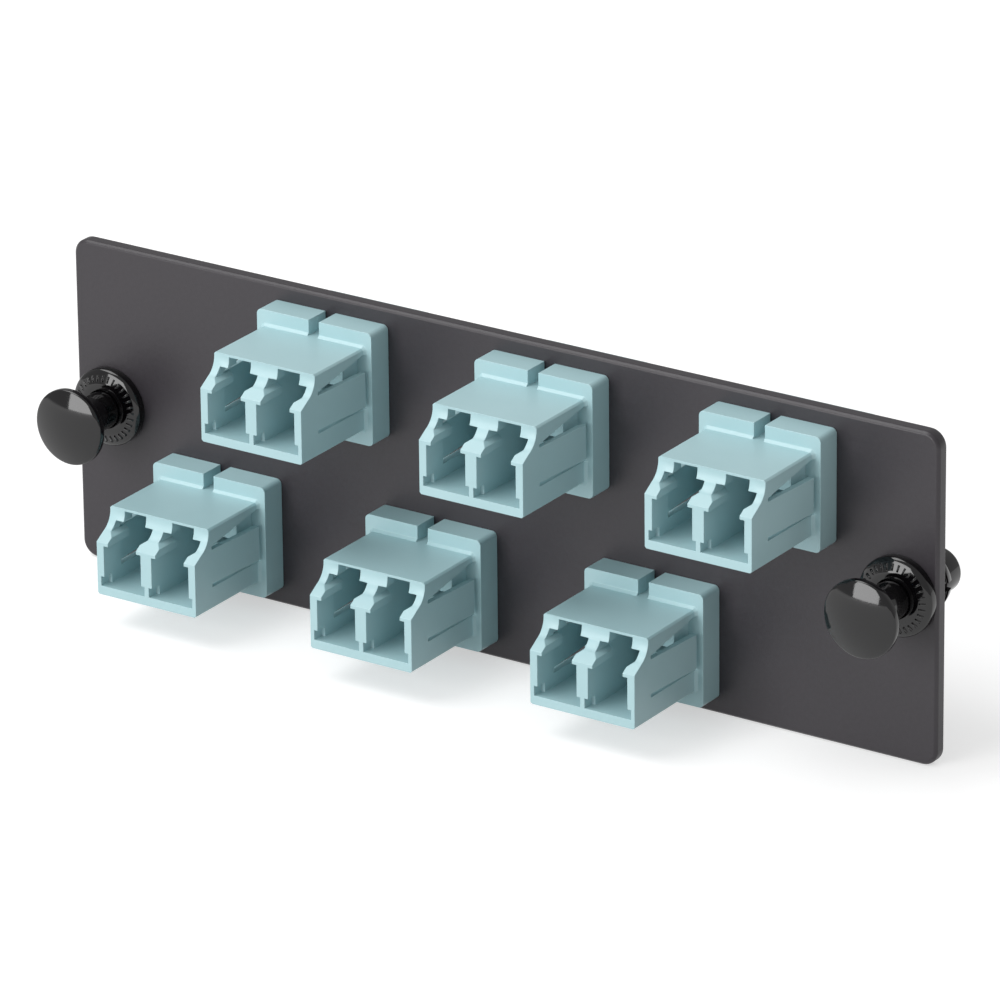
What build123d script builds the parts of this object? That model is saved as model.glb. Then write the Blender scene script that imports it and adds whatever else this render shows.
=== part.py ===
from build123d import *
import os

# Fibre adapter panel: a flat plate that carries six duplex adapters in two staggered rows,
# with a push-pull latch at each end.
# Millimetres. +X runs along the panel, -Y points at the front, where the plugs go in, and +Z is up.
# The origin is the middle of the plate's rear face.

# Plate
plate_width = 108.7
plate_height = 37.0
plate_thickness = 1.5
plate_corner_radius = 1.8
plate_front_break = 0.3
cutout_clearance = 0.15

# Adapter places
adapter_pitch = 27.75
row_stagger = 14.2
row_spacing = 20.6

# Ports of a duplex adapter, listed from the floor up to the roof
port_pitch = 6.25
port_width = 4.84
side_wall = 0.905
floor_thickness = 1.0
plug_height = 4.65
shoulder_height = 1.25
shoulder_lip = 0.85
pocket_height = 0.95
latch_slot_height = 1.15
roof_thickness = 0.3
shoulder_reach = 0.57
shoulder_length = 4.0
latch_slot_width = 2.8
catch_chamber_length = 5.0
catch_chamber_roof = 0.8
corner_notch_width = 0.43
corner_notch_height = 1.1
corner_notch_depth = 1.4

# Adapter body: two equal halves, joined at the middle of the flange
barrel_length = 11.8
body_edge_break = 0.2
chin_height = 6.05
ramp_depth = 1.3
ramp_height = 0.8
brow_recess = 2.6
brow_bow = 0.35
flange_thickness = 3.2
flange_overhang = 1.75
flange_side_overhang = 0.9
flange_corner_radius = 0.6
flange_root_fill = 0.3
flange_seat_fill = 0.12
flange_slot_width = 1.3

# Snap tab in each side wall, hinged at its outer end, with a slit all round the rest of it
tab_setback = 3.15
tab_bottom = 2.9
tab_height = 3.9
tab_thickness = 0.65
tab_rise = 0.5
tab_front_gap = 0.6
tab_snap_clearance = 0.1
slit_height = 0.4
slit_root_height = 0.4
slit_flare = 1.4

# Alignment sleeve and the boss that holds it
ferrule_diameter = 1.25
sleeve_wall = 0.22
sleeve_length = 6.8
sleeve_split = 0.25
sleeve_clearance = 0.075
sleeve_end_play = 0.05
boss_wall = 0.53
boss_lip = 0.85
boss_lip_grip = 0.065
web_thickness = 1.0

# Push-pull latch
latch_edge_margin = 0.1
grommet_radius = 4.4
grommet_height = 1.6
grommet_land_radius = 2.8
grommet_crown = 0.5
grommet_edge_break = 0.2
shank_radius = 3.26
shank_clearance = 0.05
leg_radius = 3.1
leg_grip = 2.7
barb_height = 0.25
barb_length = 1.0
barb_taper = 0.25
leg_slot_width = 0.9
plunger_radius = 2.1
plunger_clearance = 0.07
bulb_radius = 2.5
bulb_length = 3.3
bulb_nose = 0.5
bulb_tip_radius = 2.0
bulb_gap = 0.05
head_radius = 4.3
head_rim = 0.75
head_dome = 0.85
head_root_fill = 0.25
head_edge_break = 0.25
plunger_travel = 5.3
head_rest_gap = 0.3

# Working allowances: how far a cutting shape runs past the face it opens, and how near counts as touching
overshoot = 1.0
tolerance = 0.01

# Sizes that follow from the values above
body_width = port_pitch + port_width + 2 * side_wall
plug_top = floor_thickness + plug_height
pocket_bottom = plug_top + shoulder_height
pocket_top = pocket_bottom + pocket_height
slot_top = pocket_top + latch_slot_height
body_height = slot_top + roof_thickness
body_bottom = -body_height / 2
half_length = flange_thickness / 2 + barrel_length
flange_width = body_width + 2 * flange_side_overhang
flange_height = body_height + 2 * flange_overhang
ferrule_height = floor_thickness + plug_height / 2
adapter_middle = -plate_thickness - flange_thickness / 2

sleeve_bore = ferrule_diameter / 2
sleeve_radius = sleeve_bore + sleeve_wall
seat_radius = sleeve_radius + sleeve_clearance
seat_end = sleeve_length / 2 + sleeve_end_play
boss_radius = seat_radius + boss_wall
boss_end = seat_end + boss_lip
boss_mouth = sleeve_radius - boss_lip_grip

latch_x = plate_width / 2 - latch_edge_margin - grommet_radius
grommet_bore = plunger_radius + plunger_clearance
grommet_face = -plate_thickness - grommet_height
head_back = grommet_face - head_rest_gap - plunger_travel
leg_end = leg_grip + barb_length
bulb_front = leg_end + bulb_gap

sides = (-1, 1)


def adapter_places():
    """Centres of the six adapters, the upper row first, each row from left to right."""
    return [
        (column * adapter_pitch + side * row_stagger / 2, side * row_spacing / 2)
        for side in (1, -1)
        for column in (-1, 0, 1)
    ]


def block(x_range, y_range, z_range):
    """A box between two limits along each axis."""
    size = [high - low for low, high in (x_range, y_range, z_range)]
    middle = [(high + low) / 2 for low, high in (x_range, y_range, z_range)]
    return Pos(*middle) * Box(*size)


def prism_x(points, x_from, x_to):
    """A side profile, given as (y, height above the body's bottom), pushed along X."""
    outline = Polyline(*[(0, y, body_bottom + height) for y, height in points], close=True)
    face = Face(Wire(outline.edges()))
    return Pos(x_from, 0, 0) * Solid.extrude(face, Vector(x_to - x_from, 0, 0))


def cylinder_y(radius, y_from, y_to, x=0, z=0):
    """A round bar along Y."""
    return Pos(x, (y_from + y_to) / 2, z) * Rot(90, 0, 0) * Cylinder(radius, abs(y_to - y_from))


def make_plate():
    plate = Pos(0, -plate_thickness / 2, 0) * Box(plate_width, plate_thickness, plate_height)
    plate = fillet(plate.edges().filter_by(Axis.Y), plate_corner_radius)
    plate = chamfer(plate.faces().sort_by(Axis.Y)[0].edges(), plate_front_break)
    cutout_width = body_width + 2 * cutout_clearance
    cutout_height = body_height + 2 * cutout_clearance
    cutout = Box(cutout_width, 2 * (plate_thickness + overshoot), cutout_height)
    for x, z in adapter_places():
        plate -= Pos(x, 0, z) * cutout
    for side in sides:
        plate -= cylinder_y(shank_radius + shank_clearance, -plate_thickness - overshoot, overshoot,
                            x=side * latch_x)
    return plate


def barrel_outline():
    """Side view of a half: a straight chin, a ramp, then a bowed brow set back from the front."""
    front = -half_length
    brow_foot = (front + ramp_depth, body_bottom + chin_height + ramp_height)
    brow_top = (front + brow_recess, body_height / 2)
    brow_middle = (
        (brow_foot[0] + brow_top[0]) / 2 + brow_bow,
        (brow_foot[1] + brow_top[1]) / 2 - brow_bow,
    )
    chin = (front, body_bottom + chin_height)
    lower = Polyline((0, 0, body_height / 2), (0, 0, body_bottom), (0, front, body_bottom),
                     (0, *chin), (0, *brow_foot))
    brow = ThreePointArc((0, *brow_foot), (0, *brow_middle), (0, *brow_top))
    upper = Line((0, *brow_top), (0, 0, body_height / 2))
    return Wire(lower.edges() + brow.edges() + upper.edges())


def port_cuts(x):
    """Everything taken out of a half for one port."""
    front = -half_length - overshoot
    half = port_width / 2
    floor = body_bottom + floor_thickness
    tooth_end = -half_length + shoulder_length
    cavity = block((x - half, x + half), (front, -web_thickness), (floor, body_bottom + plug_top))
    notch_half = half + corner_notch_width
    notches = block((x - notch_half, x + notch_half), (front, -half_length + corner_notch_depth),
                    (floor, floor + corner_notch_height))
    tip = half - shoulder_reach
    throat_points = [(-half, pocket_bottom), (-tip, plug_top + shoulder_lip), (-tip, plug_top),
                     (tip, plug_top), (tip, plug_top + shoulder_lip), (half, pocket_bottom)]
    outline = Polyline(*[(x + across, front, body_bottom + up) for across, up in throat_points], close=True)
    throat = Solid.extrude(Face(Wire(outline.edges())), Vector(0, tooth_end - front, 0))
    pocket = block((x - half, x + half), (front, tooth_end),
                   (body_bottom + pocket_bottom, body_bottom + pocket_top))
    slot_half = latch_slot_width / 2
    slot = block((x - slot_half, x + slot_half), (front, tooth_end),
                 (body_bottom + pocket_top, body_bottom + slot_top))
    chamber = block((x - half, x + half), (tooth_end, tooth_end + catch_chamber_length),
                    (body_bottom + plug_top, body_height / 2 - catch_chamber_roof))
    return [cavity, notches, throat, pocket, slot, chamber]


def is_flange_root(edge):
    """True for the edges where the barrel leaves the flange's face."""
    box = edge.bounding_box()
    off_face = max(abs(y + flange_thickness / 2) for y in (box.min.Y, box.max.Y))
    half_span = max(abs(x) for x in (box.min.X, box.max.X))
    return off_face < tolerance and half_span < body_width / 2 + tolerance


def make_half(tab_gap, root_fill):
    """One moulded half of an adapter, seen from its open end at -Y. It meets the other half at Y = 0."""
    body = Solid.extrude(Face(barrel_outline()), Vector(body_width, 0, 0))
    body = Pos(-body_width / 2, 0, 0) * body
    long_edges = body.edges().filter_by(Axis.Y)
    body = chamfer(long_edges, body_edge_break)

    flange_half = flange_thickness / 2
    flange = Pos(0, -flange_half / 2, 0) * Box(flange_width, flange_half, flange_height)
    flange = fillet(flange.edges().filter_by(Axis.Y), flange_corner_radius)
    half = body + flange
    root_edges = [edge for edge in half.edges() if is_flange_root(edge)]
    half = chamfer(root_edges, root_fill)
    half -= block((-flange_slot_width / 2, flange_slot_width / 2), (-flange_half - overshoot, overshoot),
                  (body_height / 2, flange_height / 2 + overshoot))

    tab_top = tab_bottom + tab_height
    root = -half_length + tab_setback
    tab_end = -flange_half - tab_gap
    window = [(root, tab_bottom - slit_height), (-flange_half, tab_bottom - slit_height),
              (-flange_half, tab_top + slit_root_height + slit_flare), (root, tab_top + slit_root_height)]
    outer = body_width / 2
    for side in sides:
        half -= prism_x(window, side * (outer - side_wall), side * (outer + overshoot))

    for side in sides:
        for cut in port_cuts(side * port_pitch / 2):
            half -= cut

    for side in sides:
        tab_points = [(outer - tab_thickness, root), (outer, root), (outer + tab_rise, tab_end),
                      (outer + tab_rise - tab_thickness, tab_end)]
        outline = Polyline(*[(side * x, y, body_bottom + tab_bottom) for x, y in tab_points], close=True)
        half += Solid.extrude(Face(Wire(outline.edges())), Vector(0, 0, tab_height))

    for side in sides:
        x = side * port_pitch / 2
        z = body_bottom + ferrule_height
        half += cylinder_y(boss_radius, -boss_end, -web_thickness / 2, x, z)
        half -= Pos(x, 0, z) * revolve_y([
            (0, -boss_end - overshoot), (boss_mouth, -boss_end - overshoot), (boss_mouth, -seat_end),
            (seat_radius, -seat_end), (seat_radius, overshoot), (0, overshoot)])
    return half


def make_sleeve():
    """A split tube, rolled from spring strip, open along its top."""
    tube = cylinder_y(sleeve_radius, -sleeve_length / 2, sleeve_length / 2)
    cut_end = sleeve_length / 2 + overshoot
    tube -= cylinder_y(sleeve_bore, -cut_end, cut_end)
    tube -= block((-sleeve_split / 2, sleeve_split / 2), (-cut_end, cut_end), (0, sleeve_radius + overshoot))
    return tube


def revolve_y(points):
    """A half section, given as (radius, y), turned about the Y axis."""
    outline = Polyline(*[(radius, y, 0) for radius, y in points], close=True)
    return revolve(Face(Wire(outline.edges())), Axis.Y)


def make_grommet():
    """A collar on the plate's front, a shank through its hole, and four legs behind it."""
    face = grommet_face
    points = [
        (grommet_bore, face),
        (grommet_land_radius, face),
        (grommet_radius - grommet_edge_break, face + grommet_crown),
        (grommet_radius, face + grommet_crown + grommet_edge_break),
        (grommet_radius, -plate_thickness),
        (shank_radius, -plate_thickness),
        (shank_radius, 0),
        (leg_radius, 0),
        (leg_radius, leg_grip),
        (leg_radius + barb_height, leg_grip),
        (leg_radius + barb_height - barb_taper, leg_end),
        (grommet_bore, leg_end),
    ]
    grommet = revolve_y(points)
    reach = grommet_radius + overshoot
    half_slot = leg_slot_width / 2
    slot_range = (0, leg_end + overshoot)
    grommet -= block((-half_slot, half_slot), slot_range, (-reach, reach))
    grommet -= block((-reach, reach), slot_range, (-half_slot, half_slot))
    return grommet


def dome_arc(radius, rim, tip):
    """An arc from the rim of a shallow dome to its tip on the axis, in the XY plane."""
    height = rim - tip
    sphere = (radius ** 2 + height ** 2) / (2 * height)
    start = Vector(radius, rim, 0)
    end = Vector(0, tip, 0)
    middle = Vector(0, tip + sphere, 0)
    half_way = middle + ((start - middle) + (end - middle)).normalized() * sphere
    return ThreePointArc(start, half_way, end)


def make_plunger():
    """A domed head on a round stem, with a blunt bulb behind the legs that keeps it captive."""
    rim_front = head_back - head_rim
    apex = rim_front - head_dome
    bulb_end = bulb_front + bulb_length
    bulb_shoulder = bulb_end - bulb_nose
    side = Polyline(
        (head_radius, rim_front, 0),
        (head_radius, head_back, 0),
        (plunger_radius + head_root_fill, head_back, 0),
        (plunger_radius, head_back + head_root_fill, 0),
        (plunger_radius, bulb_front, 0),
        (bulb_radius, bulb_front, 0),
        (bulb_radius, bulb_shoulder, 0),
        (bulb_tip_radius, bulb_end, 0),
        (0, bulb_end, 0),
    )
    axis = Line((0, apex, 0), (0, bulb_end, 0))
    dome = dome_arc(head_radius, rim_front, apex)
    profile = make_face(side.edges() + axis.edges() + dome.edges())
    rim_corner = [corner for corner in profile.vertices() if abs(corner.Y - rim_front) < tolerance]
    profile = chamfer(rim_corner, head_edge_break)
    return revolve(profile, Axis.Y)


front_half = make_half(tab_front_gap, flange_root_fill)
rear_half = Rot(0, 0, 180) * make_half(plate_thickness + tab_snap_clearance, flange_seat_fill)
sleeve = make_sleeve()
grommet = make_grommet()
plunger = make_plunger()

parts = {"panel_plate": make_plate()}
for number, (x, z) in enumerate(adapter_places(), start=1):
    place = Pos(x, adapter_middle, z)
    parts[f"adapter_{number}_front_housing"] = place * front_half
    parts[f"adapter_{number}_rear_housing"] = place * rear_half
    for name, side in (("left", -1), ("right", 1)):
        seat = place * Pos(side * port_pitch / 2, 0, body_bottom + ferrule_height)
        parts[f"adapter_{number}_sleeve_{name}"] = seat * sleeve
for name, side in (("left", -1), ("right", 1)):
    place = Pos(side * latch_x, 0, 0)
    parts[f"latch_{name}_grommet"] = place * grommet
    parts[f"latch_{name}_plunger"] = place * plunger

os.makedirs("parts", exist_ok=True)
for name, shape in parts.items():
    export_step(shape, f"parts/{name}.step")
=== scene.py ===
import bpy
from math import asin, atan2, cos, hypot, radians, sin
from mathutils import Matrix, Vector


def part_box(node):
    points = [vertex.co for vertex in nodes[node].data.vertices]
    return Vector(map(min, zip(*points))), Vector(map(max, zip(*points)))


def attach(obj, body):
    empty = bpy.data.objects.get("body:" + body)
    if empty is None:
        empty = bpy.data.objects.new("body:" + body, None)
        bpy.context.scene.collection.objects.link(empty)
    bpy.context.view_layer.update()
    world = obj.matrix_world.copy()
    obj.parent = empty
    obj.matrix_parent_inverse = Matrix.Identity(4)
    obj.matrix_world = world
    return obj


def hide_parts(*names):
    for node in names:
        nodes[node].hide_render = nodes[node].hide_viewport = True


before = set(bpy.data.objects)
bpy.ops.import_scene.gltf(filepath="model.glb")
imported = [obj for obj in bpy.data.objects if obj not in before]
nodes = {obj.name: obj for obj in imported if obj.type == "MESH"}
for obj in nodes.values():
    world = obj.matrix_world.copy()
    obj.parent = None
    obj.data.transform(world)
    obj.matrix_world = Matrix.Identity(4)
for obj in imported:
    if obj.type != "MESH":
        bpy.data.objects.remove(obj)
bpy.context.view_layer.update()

# Sizes of the panel, as the CAD has them, in metres
MM = 0.001
PLATE_THICKNESS = 1.5 * MM
PLATE_BOTTOM = -18.5 * MM
LATCH_X = 49.85 * MM
ADAPTER_COUNT = 6
ADAPTER_SEAM = -3.1 * MM

# Sizes of the latch: radii, and places along its axis, which runs from front to back
HEAD_RADIUS = 4.3 * MM
HEAD_APEX = -10.3 * MM
HEAD_RIM = -9.45 * MM
HEAD_BACK = -8.7 * MM
STEM_RADIUS = 2.1 * MM
STEM_FLARE = 0.25 * MM
BULB_RADIUS = 2.5 * MM
BULB_TIP_RADIUS = 2.0 * MM
BULB_FRONT = 3.75 * MM
BULB_SHOULDER = 6.55 * MM
BULB_END = 7.05 * MM
COLLAR_RADIUS = 4.4 * MM
COLLAR_BORE = 2.17 * MM
COLLAR_FACE = -3.1 * MM
COLLAR_LAND_RADIUS = 2.8 * MM
COLLAR_CROWN = 0.5 * MM
COLLAR_BREAK = 0.2 * MM
SHANK_RADIUS = 3.26 * MM
LEG_RADIUS = 3.1 * MM
LEG_GRIP = 2.7 * MM
LEG_END = 3.7 * MM
BARB_RADIUS = 3.35 * MM
LEG_SLOT = 0.9 * MM

# Steps in a full turn, and in the head's dome from its middle to its rim
TURN_STEPS = 96
DOME_STEPS = 12

# Raised ribs round the collar, each a little narrower than one step of its turning
RIB_INNER = 3.1 * MM
RIB_OUTER = 3.85 * MM
RIB_HEIGHT = 0.1 * MM
RIB_MARGIN = 0.03 * MM
RIB_SPACING = 3

# Rounding that a moulding tool or a coat of paint leaves on an edge
MOULDED_EDGE = 0.1 * MM
KNOB_EDGE = 0.15 * MM
COATED_EDGE = 0.12 * MM
EDGE_SEGMENTS = 3

# Points nearer than this are one point. Faces that turn by less than these angles are
# one face, or are shaded smooth. An edge that turns by more than the last is rounded.
SAME_PLACE = 0.001 * MM
FLAT_BELOW = radians(1)
SMOOTH_BELOW = radians(35)
SHARP_ABOVE = radians(30)

# Camera: a long lens far in front of the panel, turned round the middle of the plate's front
SENSOR_WIDTH = 36
LENS = 309
CLIP_NEAR = 0.05
CLIP_FAR = 20
VIEW_TURN = radians(33.76)
VIEW_TILT = radians(-22.15)
VIEW_ROLL = radians(0.62)
CAMERA_STAND = (0.56 * MM, -905.4 * MM, -0.33 * MM)

# Room: its light on the panel, its brightness to the camera, and the floor
WHITE = (1, 1, 1, 1)
ROOM_LIGHT = 0.52
ROOM_SEEN = 1.0
PAPER_LIFT = 0.52
FLOOR_WIDTH = 8
FLOOR_GAP = 0.05 * MM


# Camera
def set_camera():
    """The photograph's view: from the right and above, from far away through a long lens."""
    bpy.ops.object.camera_add()
    camera = bpy.context.object
    camera.name = "camera"
    camera.data.sensor_width = SENSOR_WIDTH
    camera.data.lens = LENS
    camera.data.clip_start = CLIP_NEAR
    camera.data.clip_end = CLIP_FAR
    turn = (Matrix.Rotation(VIEW_TURN, 4, "Z")
            @ Matrix.Rotation(VIEW_TILT, 4, "X")
            @ Matrix.Rotation(VIEW_ROLL, 4, "Y"))
    stand = Matrix.Translation(CAMERA_STAND)
    front = Matrix.Translation((0, -PLATE_THICKNESS, 0))
    camera.matrix_world = front @ turn @ stand @ Matrix.Rotation(radians(90), 4, "X")
    bpy.context.scene.camera = camera


# Shader nodes
def colour(code):
    """An sRGB hex value as the linear colour that a shader socket takes."""
    channels = [int(code[i:i + 2], 16) / 255 for i in (1, 3, 5)]
    linear = [c / 12.92 if c <= 0.04045 else ((c + 0.055) / 1.055) ** 2.4 for c in channels]
    return (*linear, 1.0)


def new_material(name):
    material = bpy.data.materials.new(name)
    material.use_nodes = True
    material.node_tree.nodes.clear()
    return material


def add_node(owner, kind, inputs=None, **settings):
    """Adds a node to a material or a world, sets its properties, then fills each named input
    or links a socket to it."""
    tree = owner.node_tree
    node = tree.nodes.new(kind)
    for name, value in settings.items():
        setattr(node, name, value)
    for name, value in (inputs or {}).items():
        if isinstance(value, bpy.types.NodeSocket):
            tree.links.new(value, node.inputs[name])
        else:
            node.inputs[name].default_value = value
    return node


def object_place(material):
    """The place of a point on its object, which every pattern is drawn by."""
    return add_node(material, "ShaderNodeTexCoord").outputs["Object"]


def noise(material, place, width, detail):
    """Cloudy noise from 0 to 1, whose clouds are about a given width across."""
    cloud = add_node(material, "ShaderNodeTexNoise",
                     {"Vector": place, "Scale": 1 / width, "Detail": detail})
    return cloud.outputs["Fac"]


def blend(material, factor, first, second):
    """A colour that goes from the first to the second with a factor."""
    mix = add_node(material, "ShaderNodeMix",
                   {"Factor": factor, "A": first, "B": second}, data_type="RGBA")
    return mix.outputs["Result"]


def spread(owner, value, low, high):
    """A value from 0 to 1, turned into one from low to high."""
    span = add_node(owner, "ShaderNodeMapRange", {"Value": value, "To Min": low, "To Max": high})
    return span.outputs["Result"]


def relief(material, height, depth, strength):
    """A normal that follows a pattern of a given depth."""
    bump = add_node(material, "ShaderNodeBump",
                    {"Height": height, "Distance": depth, "Strength": strength})
    return bump.outputs["Normal"]


def cover(material, inputs):
    """Ends a material in one surface shader."""
    shader = add_node(material, "ShaderNodeBsdfPrincipled", inputs)
    add_node(material, "ShaderNodeOutputMaterial", {"Surface": shader.outputs["BSDF"]})


def any_ray(owner, *kinds):
    """1 for a ray of one of the given kinds, and 0 for any other."""
    sight = add_node(owner, "ShaderNodeLightPath")
    found = sight.outputs[kinds[0]]
    for kind in kinds[1:]:
        either = add_node(owner, "ShaderNodeMath",
                          {0: found, 1: sight.outputs[kind]}, operation="MAXIMUM")
        found = either.outputs["Value"]
    return found


# Materials
def powder_coated_steel():
    """Sheet steel under a fine-textured charcoal powder coat, sprayed and baked.
    To the eye: near black, dull, with a faint even pebble and a soft broad sheen."""
    material = new_material("powder_coated_steel_charcoal")
    place = object_place(material)
    # The coat's pebbles are about 0.25 mm across, drawn at 0.5 mm so that they show
    pebble = noise(material, place, 0.5 * MM, 3.0)
    # The sprayed coat is thicker and darker in patches about 9 mm across
    cloud = noise(material, place, 9 * MM, 4.0)
    tint = blend(material, cloud, colour("#29262A"), colour("#2D292E"))
    cover(material, {
        "Base Color": blend(material, pebble, tint, colour("#322E33")),
        "Roughness": spread(material, cloud, 0.38, 0.44),
        "Normal": relief(material, pebble, 0.03 * MM, 0.5),
    })
    return material


def moulded_aqua_plastic():
    """Injection-moulded PBT in the aqua of multimode fibre parts, from a finely eroded tool.
    To the eye: satin, slightly milky, an even pale blue-green."""
    material = new_material("moulded_pbt_aqua_satin")
    place = object_place(material)
    # Spark-eroded tool texture, about 0.12 mm, drawn at 0.2 mm so that it shows
    grain = noise(material, place, 0.2 * MM, 2.0)
    # Faint clouding where the melt flowed, about 6 mm across
    flow = noise(material, place, 6 * MM, 3.0)
    cover(material, {
        "Base Color": blend(material, flow, colour("#A2C4C9"), colour("#ACCCD1")),
        "Roughness": spread(material, flow, 0.34, 0.42),
        "IOR": 1.55,
        "Normal": relief(material, grain, 0.01 * MM, 0.25),
    })
    return material


def bronze_strip():
    """Phosphor bronze strip, rolled to a split tube.
    To the eye: reddish metal with fine rolling lines along the tube."""
    material = new_material("phosphor_bronze_strip_rolled")
    # Rolling lines about 0.08 mm apart, drawn out 50 times as long along the tube
    along = add_node(material, "ShaderNodeMapping",
                     {"Vector": object_place(material), "Scale": (1.0, 0.02, 1.0)})
    lines = noise(material, along.outputs["Vector"], 0.08 * MM, 2.0)
    cover(material, {
        "Base Color": blend(material, lines, colour("#B5754A"), colour("#C98A5C")),
        "Metallic": 1.0,
        "Roughness": 0.3,
    })
    return material


def polished_black_nylon():
    """Black nylon from a polished tool.
    To the eye: deep black with clear, hard-edged reflections of the lights."""
    material = new_material("moulded_nylon_black_polished")
    # Handling leaves the polish a little duller in patches about 2.5 mm across
    haze = noise(material, object_place(material), 2.5 * MM, 3.0)
    cover(material, {
        "Base Color": colour("#080709"),
        "Roughness": spread(material, haze, 0.05, 0.1),
        "IOR": 1.53,
    })
    return material


def studio_paper():
    """Seamless white paper. It looks white, with the panel's shadow kept, and it lights the
    panel no more than plain paper does."""
    material = new_material("studio_paper_white")
    seen = any_ray(material, "Is Camera Ray", "Is Glossy Ray", "Is Transmission Ray")
    paper = add_node(material, "ShaderNodeBsdfDiffuse", {"Color": colour("#D0D0D0")})
    lift = add_node(material, "ShaderNodeEmission", {"Color": WHITE, "Strength": PAPER_LIFT})
    bright = add_node(material, "ShaderNodeAddShader",
                      {0: paper.outputs["BSDF"], 1: lift.outputs["Emission"]})
    either = add_node(material, "ShaderNodeMixShader",
                      {0: seen, 1: paper.outputs["BSDF"], 2: bright.outputs["Shader"]})
    add_node(material, "ShaderNodeOutputMaterial", {"Surface": either.outputs["Shader"]})
    return material


# Lights and floor
def softbox(name, place, size, power):
    """A flat soft light of a given width and height, turned to the panel's middle."""
    bpy.ops.object.light_add(type="AREA", location=place)
    lamp = bpy.context.object
    lamp.name = name
    lamp.data.shape = "RECTANGLE"
    lamp.data.size, lamp.data.size_y = size
    lamp.data.energy = power
    lamp.rotation_euler = (-Vector(place)).to_track_quat("-Z", "Y").to_euler()


def set_lights():
    """A tall window in front, a broad light high on the left, and an even room round them."""
    softbox("front_window", (-0.28, -0.96, 0.26), (0.56, 0.54), 5.7)
    softbox("high_left_softbox", (-0.46, -0.33, 0.89), (0.7, 0.6), 5.5)
    world = bpy.data.worlds.new("studio")
    bpy.context.scene.world = world
    world.use_nodes = True
    world.node_tree.nodes.clear()
    seen = any_ray(world, "Is Camera Ray", "Is Transmission Ray")
    sky = add_node(world, "ShaderNodeBackground",
                   {"Color": WHITE, "Strength": spread(world, seen, ROOM_LIGHT, ROOM_SEEN)})
    add_node(world, "ShaderNodeOutputWorld", {"Surface": sky.outputs["Background"]})


def set_floor():
    bpy.ops.mesh.primitive_plane_add(size=FLOOR_WIDTH, location=(0, 0, PLATE_BOTTOM - FLOOR_GAP))
    floor = bpy.context.object
    floor.name = "floor"
    floor.data.materials.append(studio_paper())


# Work on one piece
def pick(piece):
    """Makes one piece the only one that an operator acts on."""
    bpy.ops.object.select_all(action="DESELECT")
    piece.select_set(True)
    bpy.context.view_layer.objects.active = piece


def put_away(piece):
    """Ends the work on a piece, so that the next operator doesn't touch it."""
    if bpy.context.mode != "OBJECT":
        bpy.ops.object.mode_set(mode="OBJECT")
    piece.select_set(False)


def copy_to(piece, name, offset):
    """A copy with its own mesh, moved by an offset, with its object left at the origin."""
    copy = piece.copy()
    copy.data = piece.data.copy()
    copy.data.transform(Matrix.Translation(offset))
    copy.name = name
    bpy.context.collection.objects.link(copy)
    return copy


def shade(piece):
    """Shades a piece smooth over its rounded edges, while its large flat faces keep their
    own normal."""
    bpy.ops.object.shade_smooth_by_angle(angle=SMOOTH_BELOW)
    weighting = piece.modifiers.new("flat_faces", "WEIGHTED_NORMAL")
    weighting.keep_sharp = True
    bpy.ops.object.modifier_apply(modifier=weighting.name)


def round_edges(piece, width):
    """Rounds each corner of the surface, as a tool's edge leaves it, and shades it smooth."""
    pick(piece)
    bevel = piece.modifiers.new("rounding", "BEVEL")
    bevel.width = width
    bevel.segments = EDGE_SEGMENTS
    bevel.limit_method = "ANGLE"
    bevel.angle_limit = SHARP_ABOVE
    bpy.ops.object.modifier_apply(modifier=bevel.name)
    shade(piece)
    put_away(piece)


def turned(name, section):
    """A turned piece: its half section is drawn point by point, closed, and spun round the
    Y axis."""
    bpy.ops.object.select_all(action="DESELECT")
    radius, along = section[0]
    bpy.ops.mesh.primitive_plane_add(size=MM, location=(0, 0, 0))
    piece = bpy.context.object
    piece.name = name
    bpy.ops.object.mode_set(mode="EDIT")
    bpy.ops.mesh.select_all(action="SELECT")
    bpy.ops.mesh.merge(type="CENTER")
    bpy.ops.transform.translate(value=(radius, along, 0))
    for next_radius, next_along in section[1:] + section[:1]:
        bpy.ops.mesh.extrude_region_move(
            TRANSFORM_OT_translate={"value": (next_radius - radius, next_along - along, 0)})
        radius, along = next_radius, next_along
    bpy.ops.mesh.select_all(action="SELECT")
    bpy.ops.mesh.remove_doubles(threshold=SAME_PLACE)
    bpy.ops.mesh.spin(steps=TURN_STEPS, angle=radians(360), center=(0, 0, 0), axis=(0, 1, 0))
    bpy.ops.mesh.select_all(action="SELECT")
    bpy.ops.mesh.remove_doubles(threshold=SAME_PLACE)
    bpy.ops.mesh.delete_loose()
    bpy.ops.mesh.normals_make_consistent(inside=False)
    put_away(piece)
    return piece


# Latch
def knob():
    """The latch's moving piece: a shallow dome on a round stem, with a blunt bulb at its far
    end."""
    height = HEAD_RIM - HEAD_APEX
    sphere = (HEAD_RADIUS ** 2 + height ** 2) / (2 * height)
    span = asin(HEAD_RADIUS / sphere)
    dome = []
    for step in range(DOME_STEPS + 1):
        angle = span * step / DOME_STEPS
        dome.append((sphere * sin(angle), HEAD_APEX + sphere * (1 - cos(angle))))
    piece = turned("latch_knob", dome + [
        (HEAD_RADIUS, HEAD_BACK),
        (STEM_RADIUS + STEM_FLARE, HEAD_BACK),
        (STEM_RADIUS, HEAD_BACK + STEM_FLARE),
        (STEM_RADIUS, BULB_FRONT),
        (BULB_RADIUS, BULB_FRONT),
        (BULB_RADIUS, BULB_SHOULDER),
        (BULB_TIP_RADIUS, BULB_END),
        (0, BULB_END),
    ])
    round_edges(piece, KNOB_EDGE)
    return piece


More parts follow.
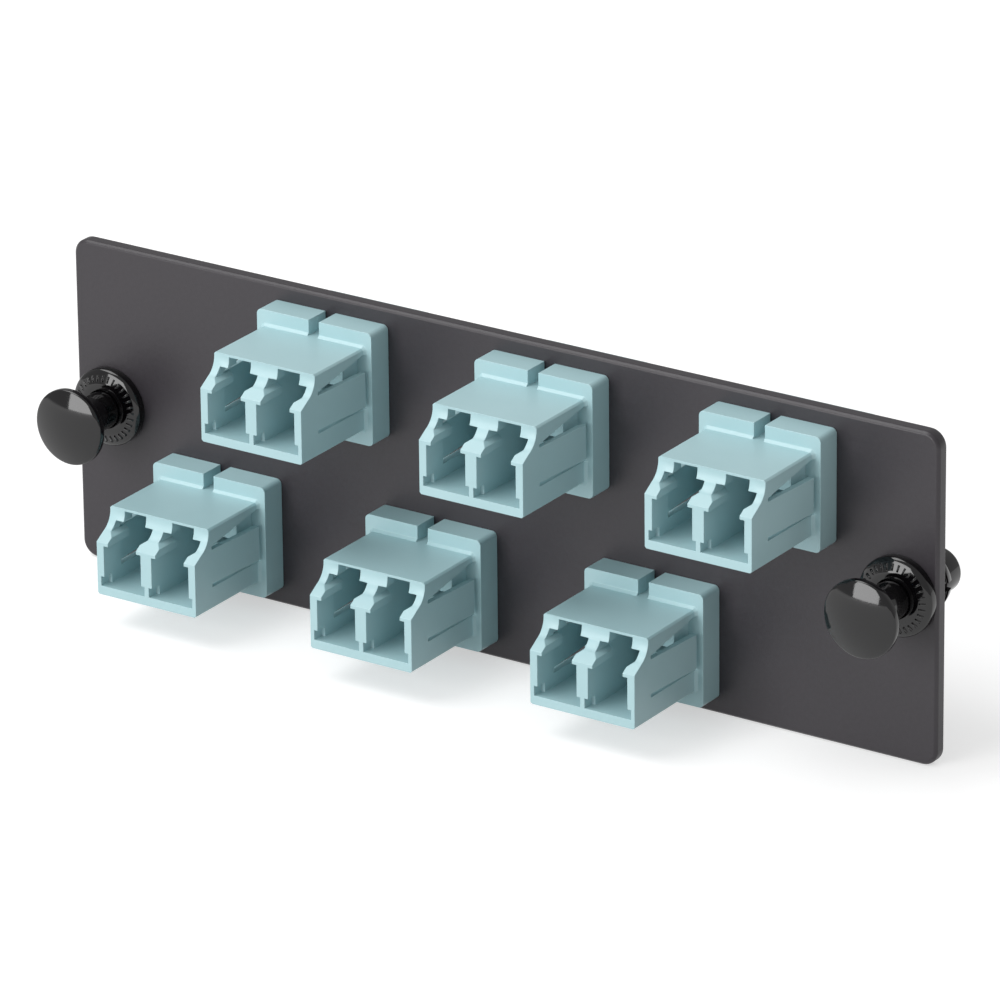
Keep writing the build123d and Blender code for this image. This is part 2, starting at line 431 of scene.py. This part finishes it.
def collar():
    """The latch's fixed piece: a collar on the plate's front, a shank in its hole, four legs
    behind."""
    crown_end = COLLAR_RADIUS - COLLAR_BREAK
    slope = COLLAR_CROWN / (crown_end - COLLAR_LAND_RADIUS)

    def on_crown(radius):
        return COLLAR_FACE + slope * (radius - COLLAR_LAND_RADIUS)

    piece = turned("latch_collar", [
        (COLLAR_BORE, COLLAR_FACE),
        (COLLAR_LAND_RADIUS, COLLAR_FACE),
        (RIB_INNER, on_crown(RIB_INNER)),
        (RIB_OUTER, on_crown(RIB_OUTER)),
        (crown_end, on_crown(crown_end)),
        (COLLAR_RADIUS, on_crown(crown_end) + COLLAR_BREAK),
        (COLLAR_RADIUS, -PLATE_THICKNESS),
        (SHANK_RADIUS, -PLATE_THICKNESS),
        (SHANK_RADIUS, 0),
        (LEG_RADIUS, 0),
        (LEG_RADIUS, LEG_GRIP),
        (BARB_RADIUS, LEG_GRIP),
        (LEG_RADIUS, LEG_END),
        (COLLAR_BORE, LEG_END),
    ])
    round_edges(piece, MOULDED_EDGE)
    cut_legs(piece)
    raise_ribs(piece)
    return piece


def cut_legs(piece):
    """Two crossed slots part the end of the shank into four legs."""
    for turn in (0, 90):
        bpy.ops.object.select_all(action="DESELECT")
        bpy.ops.mesh.primitive_cube_add(size=1, location=(0, LEG_END, 0),
                                        rotation=(0, radians(turn), 0))
        slot = bpy.context.object
        slot.scale = (LEG_SLOT, 2 * LEG_END, 4 * LEG_RADIUS)
        bpy.ops.object.transform_apply(location=True, rotation=True, scale=True)
        pick(piece)
        cut = piece.modifiers.new("leg_slot", "BOOLEAN")
        cut.operation = "DIFFERENCE"
        cut.object = slot
        bpy.ops.object.modifier_apply(modifier=cut.name)
        bpy.data.objects.remove(slot)
    bpy.ops.object.mode_set(mode="EDIT")
    bpy.ops.mesh.select_all(action="SELECT")
    bpy.ops.mesh.dissolve_degenerate(threshold=SAME_PLACE)
    put_away(piece)


def raise_ribs(piece):
    """Every third face of the collar's crown is inset and raised to a short radial rib."""
    pick(piece)
    bpy.ops.object.mode_set(mode="EDIT")
    bpy.ops.mesh.select_mode(type="FACE")
    bpy.ops.mesh.select_all(action="DESELECT")
    bpy.ops.object.mode_set(mode="OBJECT")
    for face in piece.data.polygons:
        across, along, up = face.center
        on_band = (RIB_INNER < hypot(across, up) < RIB_OUTER
                   and along < COLLAR_FACE + COLLAR_CROWN)
        step = round(atan2(up, across) / radians(360) * TURN_STEPS - 0.5)
        face.select = on_band and step % RIB_SPACING == 0
    bpy.ops.object.mode_set(mode="EDIT")
    bpy.ops.mesh.inset(thickness=RIB_MARGIN, use_individual=True)
    bpy.ops.mesh.extrude_faces_move(TRANSFORM_OT_shrink_fatten={"value": RIB_HEIGHT})
    bpy.ops.object.mode_set(mode="OBJECT")
    shade(piece)
    put_away(piece)


# Plate and housings
def rounded_copy(node, name, edge, seam=None):
    """A copy of a node whose loose triangles are merged to faces, and whose sharp edges are
    rounded. Edges that lie in the seam, a place along Y where two pieces are welded, stay as
    they are."""
    piece = copy_to(node, name, (0, 0, 0))
    pick(piece)
    bpy.ops.object.mode_set(mode="EDIT")
    bpy.ops.mesh.select_all(action="SELECT")
    bpy.ops.mesh.remove_doubles(threshold=SAME_PLACE)
    bpy.ops.mesh.dissolve_limited(angle_limit=FLAT_BELOW)
    bpy.ops.mesh.select_mode(type="EDGE")
    bpy.ops.mesh.select_all(action="DESELECT")
    bpy.ops.mesh.edges_select_sharp(sharpness=SHARP_ABOVE)
    bpy.ops.object.mode_set(mode="OBJECT")
    if seam is not None:
        points = piece.data.vertices
        for line in piece.data.edges:
            if all(abs(points[end].co.y - seam) < SAME_PLACE for end in line.vertices):
                line.select = False
    bpy.ops.object.mode_set(mode="EDIT")
    bpy.ops.mesh.bevel(offset=edge, segments=EDGE_SEGMENTS, affect="EDGES", clamp_overlap=True)
    bpy.ops.object.mode_set(mode="OBJECT")
    shade(piece)
    put_away(piece)
    return piece


# Finish
def dress(piece, material):
    """Gives a piece or a CAD node its material."""
    piece.data.materials.clear()
    piece.data.materials.append(material)


def finish(piece, material, body, stands_for):
    """Gives a piece its material and its body, and hides the node it stands for."""
    dress(piece, material)
    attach(piece, body)
    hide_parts(stands_for)


set_camera()
set_lights()
set_floor()

steel = powder_coated_steel()
aqua = moulded_aqua_plastic()
bronze = bronze_strip()
black = polished_black_nylon()

knob_pattern = knob()
collar_pattern = collar()
for side, x in (("left", -LATCH_X), ("right", LATCH_X)):
    finish(copy_to(knob_pattern, f"latch_{side}_knob", (x, 0, 0)), black,
           f"{side}_plunger", f"latch_{side}_plunger")
    finish(copy_to(collar_pattern, f"latch_{side}_collar", (x, 0, 0)), black,
           "panel", f"latch_{side}_grommet")
bpy.data.objects.remove(knob_pattern)
bpy.data.objects.remove(collar_pattern)

for half in ("front", "rear"):
    first = f"adapter_1_{half}_housing"
    pattern = rounded_copy(nodes[first], f"{half}_pattern", MOULDED_EDGE, seam=ADAPTER_SEAM)
    start = Vector(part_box(first)[0])
    for number in range(1, ADAPTER_COUNT + 1):
        housing = f"adapter_{number}_{half}_housing"
        offset = Vector(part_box(housing)[0]) - start
        finish(copy_to(pattern, f"adapter_{number}_{half}_body", offset), aqua,
               "panel", housing)
    bpy.data.objects.remove(pattern)

plate = rounded_copy(nodes["panel_plate"], "coated_plate", COATED_EDGE)
finish(plate, steel, "panel", "panel_plate")

for name, node in nodes.items():
    if "sleeve" in name:
        dress(node, bronze)

bpy.context.scene.view_settings.view_transform = "Standard"
